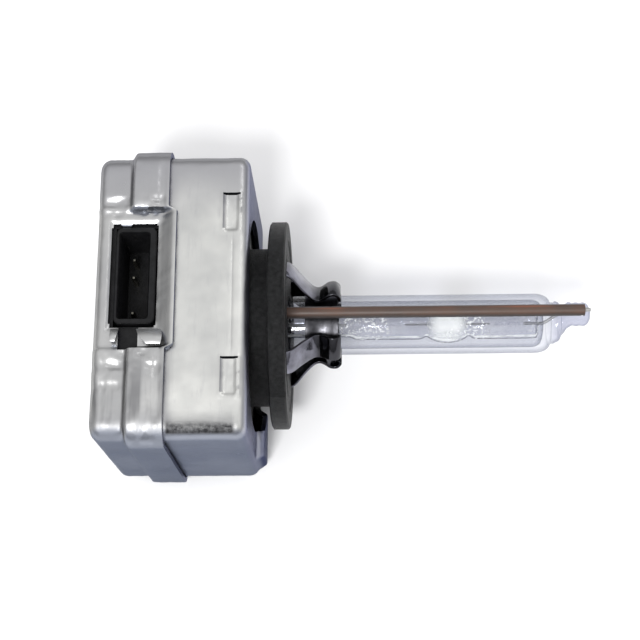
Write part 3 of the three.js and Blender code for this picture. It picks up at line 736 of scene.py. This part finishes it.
def front_shell():
    flat = CAN_HALF_Y - FRONT_CORNER
    marks = [m for pair in LANCES_Y for m in (*pair, pair[1] - 0.3)]
    relief = (FLAT_Y[0] - 1.2, FLAT_Y[1] + 1.2)
    relief_end = BAND_FRONT + FLANK_REACH - 0.3
    ys = spread(CAN_CENTRE_Y - flat, CAN_CENTRE_Y + flat, 0.35, (*marks, *relief))
    zs = spread(FRONT_CORNER - CAN_HALF_Z, CAN_HALF_Z - FRONT_CORNER, 0.7)

    def boss(y, z):
        return BOSS_RISE * plateau(y, *BOSS_Y, 1.3) * plateau(z, *BOSS_Z, 1.3)

    def section(x, inset, ahead):
        ring = []
        for y, z, ny, nz in outline(
            CAN_HALF_Y - inset, CAN_HALF_Z - inset, FRONT_CORNER - inset, ys, zs,
        ):
            lift = 0.0
            if nz > 0.999:
                across = plateau(x, *LANCE_X, 0.55)
                around = plateau(x, LANCE_X[0] - 0.4, LANCE_X[1] + 0.4, 0.4)
                for low, high in LANCES_Y:
                    lift -= LANCE_DEPTH * across * ramp(y, low, low + 0.6) * (1 - ramp(y, high - 0.3, high))
                    rim = around * plateau(y, low - 0.4, high + 0.3, 0.4)
                    lift += 0.13 * rim * (1 - across)
                    dent = across * plateau(y, low, high - 0.3, 0.5)
                    lift -= 0.16 * dent * abs(noise.noise(Vector((x * 1.1, y * 0.8, 9))))
                lift -= 0.13 * math.exp(-((x - CREASE_X) / CREASE_HALF) ** 2) * plateau(y, *CREASE_Y, 1.5)
            lift -= 0.07 * abs(noise.noise(Vector((x, y, z)) * 0.28))
            lift -= 0.03 * abs(noise.noise(Vector((x, y, z)) * 1.0))
            ring.append((x + ahead * boss(y, z), y + ny * lift, z + nz * lift))
        return ring

    rings = []
    crease = [CREASE_X + CREASE_HALF * k for k in (-2, -1, 0, 1, 2)]
    for x in spread(LAP_REAR, CAN_FRONT - FRONT_EDGE, 0.35, (*LANCE_X, *crease, relief_end)):
        rings.append(section(x, 0, 0))
    for i in range(1, 9):
        a = math.pi / 2 * i / 8
        rings.append(section(
            CAN_FRONT - FRONT_EDGE * (1 - math.sin(a)), FRONT_EDGE * (1 - math.cos(a)), math.sin(a) ** 2,
        ))
    rim = rings[-1]
    steps = 18
    for i in range(1, steps + 1):
        t = i / steps
        ring = []
        for _, y, z in rim:
            angle = math.atan2(z, y)
            reach = min(NECK_HOLE_R, NECK_HOLE_Z / max(1e-6, abs(math.sin(angle))))
            reach = min(reach, math.hypot(y, z) - 0.05)
            y_here = y + (reach * math.cos(angle) - y) * t
            z_here = z + (reach * math.sin(angle) - z) * t
            ring.append((CAN_FRONT + boss(y_here, z_here), y_here, z_here))
        rings.append(ring)

    def dropped(c):
        if c.z < NEAR_WALL_Z:
            return False
        if c.x < relief_end and relief[0] + 0.9 < c.y < relief[1] - 0.9:
            return True
        return any(
            LANCE_X[0] < c.x < LANCE_X[1] and high - 0.3 < c.y < high for _, high in LANCES_Y
        )

    return skin_faces(rings, dropped, False)


# ---------------------------------------------------------------- socket and pins


def rect_ring(x, y, z, inset, radius, turns=5):
    """A level rectangle with round corners at height z."""
    ring = []
    x0, x1, y0, y1 = x[0] + inset, x[1] - inset, y[0] + inset, y[1] - inset
    for cx, cy, start in (
        (x1 - radius, y1 - radius, 0), (x0 + radius, y1 - radius, 1),
        (x0 + radius, y0 + radius, 2), (x1 - radius, y0 + radius, 3),
    ):
        for i in range(turns + 1):
            a = math.pi / 2 * (start + i / turns)
            ring.append((cx + radius * math.cos(a), cy + radius * math.sin(a), z))
    return ring


def connector_socket():
    inner_x = (SOCKET_X[0] + SOCKET_WALLS_X[0], SOCKET_X[1] - SOCKET_WALLS_X[1])
    inner_y = (SOCKET_Y[0] + SOCKET_WALL_Y, SOCKET_Y[1] - SOCKET_WALL_Y)
    rings = [
        rect_ring(SOCKET_X, SOCKET_Y, SOCKET_BOTTOM, 0, SOCKET_CORNER),
        rect_ring(SOCKET_X, SOCKET_Y, SOCKET_MOUTH - 0.15, 0, SOCKET_CORNER),
        rect_ring(SOCKET_X, SOCKET_Y, SOCKET_MOUTH, 0.14, SOCKET_CORNER - 0.1),
        rect_ring(inner_x, inner_y, SOCKET_MOUTH, -0.2, 0.5),
        rect_ring(inner_x, inner_y, SOCKET_MOUTH - 0.3, 0, 0.35),
        rect_ring(inner_x, inner_y, SOCKET_FLOOR, 0, 0.35),
    ]
    return loft(rings)


def contact_pin(low, high):
    """A square pin with a pointed end, bent back to the circuit board."""
    half = (high.y - low.y) / 2 / MM
    y = (low.y + high.y) / 2 / MM
    x1, z1 = high.x / MM, high.z / MM
    x0, z0 = low.x / MM, low.z / MM
    centre = x1 - half
    upright = [
        [(centre + sx * half * s, y + sy * half * s, z) for sx, sy in ((-1, -1), (1, -1), (1, 1), (-1, 1))]
        for z, s in ((z0, 1), (z1 - 0.7, 1), (z1, 0.45))
    ]
    foot = box_mesh((x0, centre), (y - half * 0.98, y + half * 0.98), (z0 + 0.01, z0 + 2 * half - 0.01))
    return joined(loft(upright), foot)


# ---------------------------------------------------------------- base and holder


def lamp_base():
    """Flange and neck in one moulding, turned around the lamp axis, with its stepped bore."""
    edge = 0.22
    profile = [
        (NECK_REAR, 1.2), (NECK_REAR, NECK_R - edge), (NECK_REAR + edge, NECK_R), (-5.1, NECK_R),
        (FLANGE_REAR - 0.2, NECK_R), (FLANGE_REAR, NECK_R + 0.2), (FLANGE_REAR, FLANGE_R - edge - 0.1),
        (FLANGE_REAR + edge, FLANGE_R), (-1.3, FLANGE_R), (-edge, FLANGE_R), (0, FLANGE_R - edge), (0, 13.4),
        (-0.18, 13.2), (-0.18, 11.6), (0, 11.4), (0, 5.05), (-0.1, 4.95), (-1.9, 4.95), (-1.9, 2.4),
        (-3.6, 2.4), (-3.6, 1.2), (NECK_REAR, 1.2),
    ]
    segments = 180
    rings = []
    for x, r in profile:
        ring = []
        for i in range(segments):
            a = 2 * math.pi * i / segments
            radius = r
            # the rim is set back a little on the socket side, below the lamp axis
            degrees = math.degrees(math.atan2(math.cos(a), math.sin(a)))
            if r > FLANGE_R - 1:
                radius -= RIM_SET_BACK * plateau(degrees, *SET_BACK, 1.2)
            radius -= 0.03 * abs(noise.noise(Vector((x * 0.6, 9 * math.cos(a), 9 * math.sin(a)))))
            y, z = radius * math.cos(a), radius * math.sin(a)
            if x < FLANGE_REAR + 0.01 and 5 < r < NECK_R + 0.3:
                y = min(y, NECK_FLAT_Y)
            ring.append((x, y, z))
        rings.append(ring)
    verts, faces = loft(rings, cap_start=False, cap_end=False)
    turn = Matrix.Rotation(math.radians(KEY_ANGLE), 3, "X")
    key_verts, key_faces = box_mesh(
        (CAN_FRONT + 0.3, FLANGE_REAR + 0.3), (-2, 2), (NECK_R - 1.5, FLANGE_R - 0.4),
    )
    key = ([tuple(turn @ Vector(v)) for v in key_verts], key_faces)
    return joined((verts, faces), key)


def base_cutter():
    """One cutter for the legs' four slots and the sleeve's bore."""
    parts = []
    for angle in LEG_ANGLES:
        turn = Matrix.Rotation(math.radians(-angle), 3, "X")
        half = LEG_WIDTH / 2 + 0.3
        v, f = box_mesh((-1.9, 1), (-half, half), (9.6, 10.8))
        parts.append(([tuple(turn @ Vector(p)) for p in v], f))
    parts.append(lathe([(-4.6, ROD_R + 0.3), (1, ROD_R + 0.3)], 32, (0, ROD_Z)))
    verts, faces = joined(*parts)
    mesh = bpy.data.meshes.new("cutter")
    mesh.from_pydata([Vector(v) * MM for v in verts], [], faces)
    bm = bmesh.new()
    bm.from_mesh(mesh)
    bmesh.ops.recalc_face_normals(bm, faces=bm.faces)
    bm.to_mesh(mesh)
    bm.free()
    cutter = bpy.data.objects.new("cutter", mesh)
    bpy.context.scene.collection.objects.link(cutter)
    return cutter


def holder_leg(angle):
    """A strip of spring sheet bent along the route."""
    steps = 72
    half = LEG_WIDTH / 2 - 0.02
    path = smooth_path([(x, r, 0) for x, r in LEG_ROUTE], steps)
    rings = []
    for i, p in enumerate(path):
        along = (path[min(i + 1, steps)] - path[max(i - 1, 0)]).normalized()
        side = Vector((-along.y, along.x, 0)) * (LEG_SHEET / 2 - 0.01)
        outer, inner = p + side, p - side
        rings.append([
            (outer.x, -half, outer.y), (outer.x, 0, outer.y), (outer.x, half, outer.y),
            (inner.x, half, inner.y), (inner.x, 0, inner.y), (inner.x, -half, inner.y),
        ])
    verts, faces = loft(rings)
    turn = Matrix.Rotation(math.radians(-angle), 3, "X")
    return [tuple(turn @ Vector(v)) for v in verts], faces


# ---------------------------------------------------------------- burner


def outer_jacket():
    oy, oz = TIP_OFFSET
    inner = [(39.35, 0.05, 0), (39.3, 1.6, 0), (39.1, 2.6, 0)]
    inner += [(x, r, 0) for x, r in reversed(rounded_end(37.4, 39, JACKET_BORE_R, 2.75))]
    inner += [(x, JACKET_BORE_R, 0) for x in (30, 20, 10, 0, -1.55)]
    outer = [(-1.6, JACKET_BORE_R + 0.1, 0), (-1.6, JACKET_R - 0.1, 0), (-1.5, JACKET_R, 0)]
    outer += [(x, JACKET_R, 0) for x in (0, 10, 20, 30)]
    outer += [(x, r, 0) for x, r in rounded_end(38, 40.3, JACKET_R, 3.35, 12)]
    outer += [(40.5, 3.22, 0), (41.0, 3.2, 0)]
    outer += [(x, r, 0.15) for x, r in rounded_end(41.2, 42.0, 3.2, 2.35, 8)]
    # the drawn-off tip is faintly rippled
    outer += [(42.6, 2.2, 0.55), (42.9, 1.95, 0.8), (43.2, 2.0, 0.95), (43.5, 1.85, 1), (43.8, 1.72, 1)]
    outer += [(44.1, 1.8, 1), (44.5, 1.85, 1), (44.8, 1.74, 1), (45.1, 1.78, 1), (45.4, 1.85, 1)]
    outer += [(x, max(r, 0.03), 1) for x, r in rounded_end(45.5, 46.6, 1.83, 0.0, 10)]
    rings = [circle(x, r, 96, (oy * k, oz * k)) for x, r, k in inner + outer]
    return loft(rings)


def arc_tube():
    steps = 24
    bulge = [
        (ARC_CENTRE + CHAMBER_HALF * (2 * i / steps - 1), ARC_TUBE_R + math.sin(math.pi * i / steps) ** 0.7)
        for i in range(steps + 1)
    ]
    outer = [(-3.2, 1.8), (-3.1, 1.9), (9.4, 1.9), (9.9, 2.1), (10.6, 2.35)]
    outer += [(20.2, 2.35), (20.8, 2.2), (21.2, ARC_TUBE_R)]
    outer += bulge
    outer += [(28.1, ARC_TUBE_R), (28.5, 2.2), (29, 2.35), (38.1, 2.35), (38.4, 2.2), (38.5, 1.9)]
    body = lathe(outer, 64)
    # the discharge chamber is a hollow, so its faces look inwards
    room = [(ARC_CENTRE + 3.2 * math.cos(t), max(0.02, 1.35 * math.sin(t)))
            for t in (math.pi * (1 - i / steps) for i in range(steps + 1))]
    verts, faces = lathe(room, 48)
    return joined(body, (verts, [tuple(reversed(f)) for f in faces]))


def foil_strip(x0, x1):
    """A thin foil, feathered at its edges and faintly rippled."""
    rings = []
    for x in spread(x0, x1, 0.25):
        lift = 0.03 * noise.noise(Vector((x, 3.1, 0)) * 0.9)
        rings.append([(x, lift, -0.8), (x, lift + 0.03, 0), (x, lift, 0.8), (x, lift - 0.03, 0)])
    return loft(rings)


def electrode(x0, x1, ball_first):
    rod = 0.15
    profile = [(x0, 0.08), (x0 + 0.08, rod), (x1 - 0.62, rod), (x1 - 0.48, 0.27), (x1 - 0.3, 0.3),
               (x1 - 0.12, 0.24), (x1, 0.08)]
    if ball_first:
        profile = [(x0 + x1 - x, r) for x, r in reversed(profile)]
    return lathe(profile, 24)


# ---------------------------------------------------------------- put together

make("rear_cover_skin", *rear_cover(), sheet, "tinned_sheet", ["rear_cover"], 50, thickness=SHEET - 0.05)
make("front_shell_skin", *front_shell(), sheet, "tinned_sheet", ["front_shell"], 50, thickness=SHEET - 0.05)

for label, tab in (
    ("notch_tab_small", curled_tab((-25.3, -24.1), (-4.85, -7.0), 0.85, -0.1)),
    ("notch_tab_large", curled_tab((-21.6, -17.9), (-4.85, -7.45), 1.05, 0.9)),
):
    make(label, *tab, sheet, "tinned_sheet", [], 40)

low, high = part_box("shield_contact")
tab_x, tab_low = (low.x / MM, high.x / MM), low.z / MM
contact = loft([
    [(x, SOCKET_Y[1] + out, tab_low + up) for x, up in (
        (tab_x[0] + narrowed, lift), (tab_x[1] - narrowed, lift),
        (tab_x[1] - narrowed, lift + TAB_SHEET), (tab_x[0] + narrowed, lift + TAB_SHEET),
    )]
    for narrowed, out, lift in ((0.0, 0.63, 0.42), (0.12, 0.5, 0.4), (0.45, 0.22, 0.15))
])
make("shield_contact_tab", *contact, sheet, "tinned_sheet", ["shield_contact"], 40, bevel=0.05)

make("connector_socket_body", *connector_socket(), black, "black_plastic", ["connector_socket"], 40)
for i in (1, 2, 3):
    make(f"contact_pin_{i}_body", *contact_pin(*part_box(f"contact_pin_{i}")), pin_metal, "pin_metal",
         [f"contact_pin_{i}"], 30)

make("lamp_base_body", *lamp_base(), black_base, "black_plastic", ["lamp_base"], 30, cutters=[base_cutter()])
for i, angle in enumerate(LEG_ANGLES, 1):
    make(f"holder_leg_{i}_strip", *holder_leg(angle), spring, "spring_steel", [f"holder_leg_{i}"], 50,
         bevel=0.07)
x0, x1, r0, r1 = CLAMP
clamp = lathe([
    (x0, r0), (x0, r1 - 0.06), (x0 + 0.06, r1), (x0 + 0.9, r1), (x0 + 1.1, r1 - 0.1), (x1 - 1.1, r1 - 0.1),
    (x1 - 0.9, r1), (x1 - 0.06, r1), (x1, r1 - 0.06), (x1, r0), (x0, r0),
], 96, cap_start=False, cap_end=False)
make("clamp_band_ring", *clamp, clamp_steel, "spring_steel", ["clamp_band"], 35)

make("outer_jacket_glass", *outer_jacket(), jacket_glass, "clear_quartz", ["outer_jacket"], 60)
make("arc_tube_quartz", *arc_tube(), arc_glass, "clear_quartz", ["arc_tube"], 60)
make("ceramic_tube_sleeve", *lathe([
    (ROD_X[0], ROD_BORE_R), (ROD_X[0], ROD_R), (20, ROD_R), (ROD_X[1] - 0.06, ROD_R),
    (ROD_X[1], ROD_R - 0.06), (ROD_X[1], ROD_BORE_R), (20, ROD_BORE_R), (ROD_X[0], ROD_BORE_R),
], 48, (0, ROD_Z), cap_start=False, cap_end=False), ceramic, "brown_ceramic", ["ceramic_tube"], 35)

oy, oz = TIP_OFFSET
make("return_wire_round", *tube_along([
    (-3.8, 0, ROD_Z), (20, 0, ROD_Z), (43.6, 0, ROD_Z), (44.9, 0, ROD_Z), (45.3, 0.3, ROD_Z - 0.5),
    (44.7, oy - 0.1, ROD_Z - 2.2), (44.4, oy, oz + 1.9), (44.4, oy, oz + 0.95),
], 0.27, 120), refractory, "refractory_wire", ["return_wire"], 50)
make("lead_wire_front_round", *tube_along([
    (36.4, 0, 0), (38.6, 0, 0), (39.6, 0.1, 0.1), (41.4, oy - 0.1, oz - 0.1), (42.4, oy, oz), (44.9, oy, oz),
], 0.24, 60), refractory, "refractory_wire", ["lead_wire_front"], 50)
make("lead_wire_rear_round", *lathe([(-3.6, 0.2), (-3.55, 0.25), (8.8, 0.25), (8.9, 0.2)], 24), refractory,
     "refractory_wire", ["lead_wire_rear"], 50)
low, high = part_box("electrode_rear")
make("electrode_rear_tip", *electrode(low.x / MM, high.x / MM, False), refractory, "refractory_wire",
     ["electrode_rear"], 50)
low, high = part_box("electrode_front")
make("electrode_front_tip", *electrode(low.x / MM, high.x / MM, True), refractory, "refractory_wire",
     ["electrode_front"], 50)
make("foil_rear_strip", *foil_strip(9.2, 17.3), foil, "foil_metal", ["foil_rear"], 60)
make("foil_front_strip", *foil_strip(32.0, 36.2), foil, "foil_metal", ["foil_front"], 60)

CARRIED = {
    "igniter_case": black, "circuit_board": laminate, "ferrite_core": ferrite, "coil_former": resin,
    "primary_winding": copper, "spark_gap_cap_1": spring, "spark_gap_cap_2": spring,
    "spark_gap_body": white_ceramic, "pulse_capacitor": epoxy, "bleed_resistor": white_ceramic,
    "rectifier_diode": ferrite, "hv_lead": sleeve,
    **{f"secondary_winding_{i}": copper for i in (1, 2, 3, 4)},
}
for node, material in CARRIED.items():
    frame["nodes"][node].data.materials.clear()
    frame["nodes"][node].data.materials.append(material)

# ---------------------------------------------------------------- stage, light and camera

CAMERA_AIM = (4.78, 0.9, 0)
CAMERA_DISTANCE = 218.75
CAMERA_ROLL = math.radians(17.5)
CAMERA_YAW = 0.027
CAMERA_SPIN = math.radians(0.1)
CAMERA_LENS = 78.75


def floor():
    steps = 12
    side = [FLOOR_HALF * (2 * i / steps - 1) for i in range(steps + 1)]
    rows = [[(x, y, FLOOR_Z) for x in side] for y in side]
    verts, faces = loft(rows, closed=False, cap_start=False, cap_end=False)
    mesh = bpy.data.meshes.new("floor")
    mesh.from_pydata([Vector(v) * MM for v in verts], [], [tuple(reversed(f)) for f in faces])
    paper = plain("floor_paper", (0.89, 0.89, 0.89), (0.91, 0.91, 0.91), (0.85, 0.95), 40.0, 0.02)
    mesh.materials.append(paper)
    piece = bpy.data.objects.new("floor", mesh)
    bpy.context.scene.collection.objects.link(piece)


def softbox(name, place, size, power):
    """A flat light that faces the lamp's origin."""
    light = bpy.data.lights.new(name, "AREA")
    light.shape, light.size, light.size_y, light.energy = "RECTANGLE", size[0] * MM, size[1] * MM, power
    lamp = bpy.data.objects.new(name, light)
    lamp.location = Vector(place) * MM
    lamp.rotation_mode = "QUATERNION"
    lamp.rotation_quaternion = (-lamp.location).to_track_quat("-Z", "Y")
    bpy.context.scene.collection.objects.link(lamp)


def world(colour, low_strength, high_strength):
    """A white tent: bright overhead and dim towards the horizon, so that bent metal has contrast."""
    sky = bpy.data.worlds.new("studio")
    sky.use_nodes = True
    tree = sky.node_tree
    background = tree.nodes["Background"]
    background.inputs["Color"].default_value = (*colour, 1)
    coords = tree.nodes.new("ShaderNodeTexCoord")
    parts = tree.nodes.new("ShaderNodeSeparateXYZ")
    tree.links.new(coords.outputs["Generated"], parts.inputs["Vector"])
    level = remap(tree, parts.outputs["Z"], low_strength, high_strength, 0.05, 0.75)
    tree.links.new(level, background.inputs["Strength"])
    bpy.context.scene.world = sky


def camera():
    tilted = Vector((0, -math.sin(CAMERA_ROLL), math.cos(CAMERA_ROLL))) * math.cos(CAMERA_YAW)
    away = (tilted + Vector((math.sin(CAMERA_YAW), 0, 0))).normalized()
    right = Vector((0, 1, 0)).cross(away).normalized()
    turn = Matrix((right, away.cross(right), away)).transposed() @ Matrix.Rotation(-CAMERA_SPIN, 3, "Z")
    data = bpy.data.cameras.new("camera")
    data.lens, data.sensor_width, data.clip_start, data.clip_end = CAMERA_LENS, 36, 0.01, 10
    eye = bpy.data.objects.new("camera", data)
    place = Vector(CAMERA_AIM) * MM + away * CAMERA_DISTANCE * MM
    eye.matrix_world = Matrix.Translation(place) @ turn.to_4x4()
    bpy.context.scene.collection.objects.link(eye)
    bpy.context.scene.camera = eye


floor()
world((0.985, 0.985, 1.0), 0.32, 1.1)
softbox("key", (-90, -352, 590), (140, 140), 2.85)
softbox("fill", (200, 300, 420), (260, 120), 0.15)
bpy.context.scene.view_settings.view_transform = "Standard"
camera()
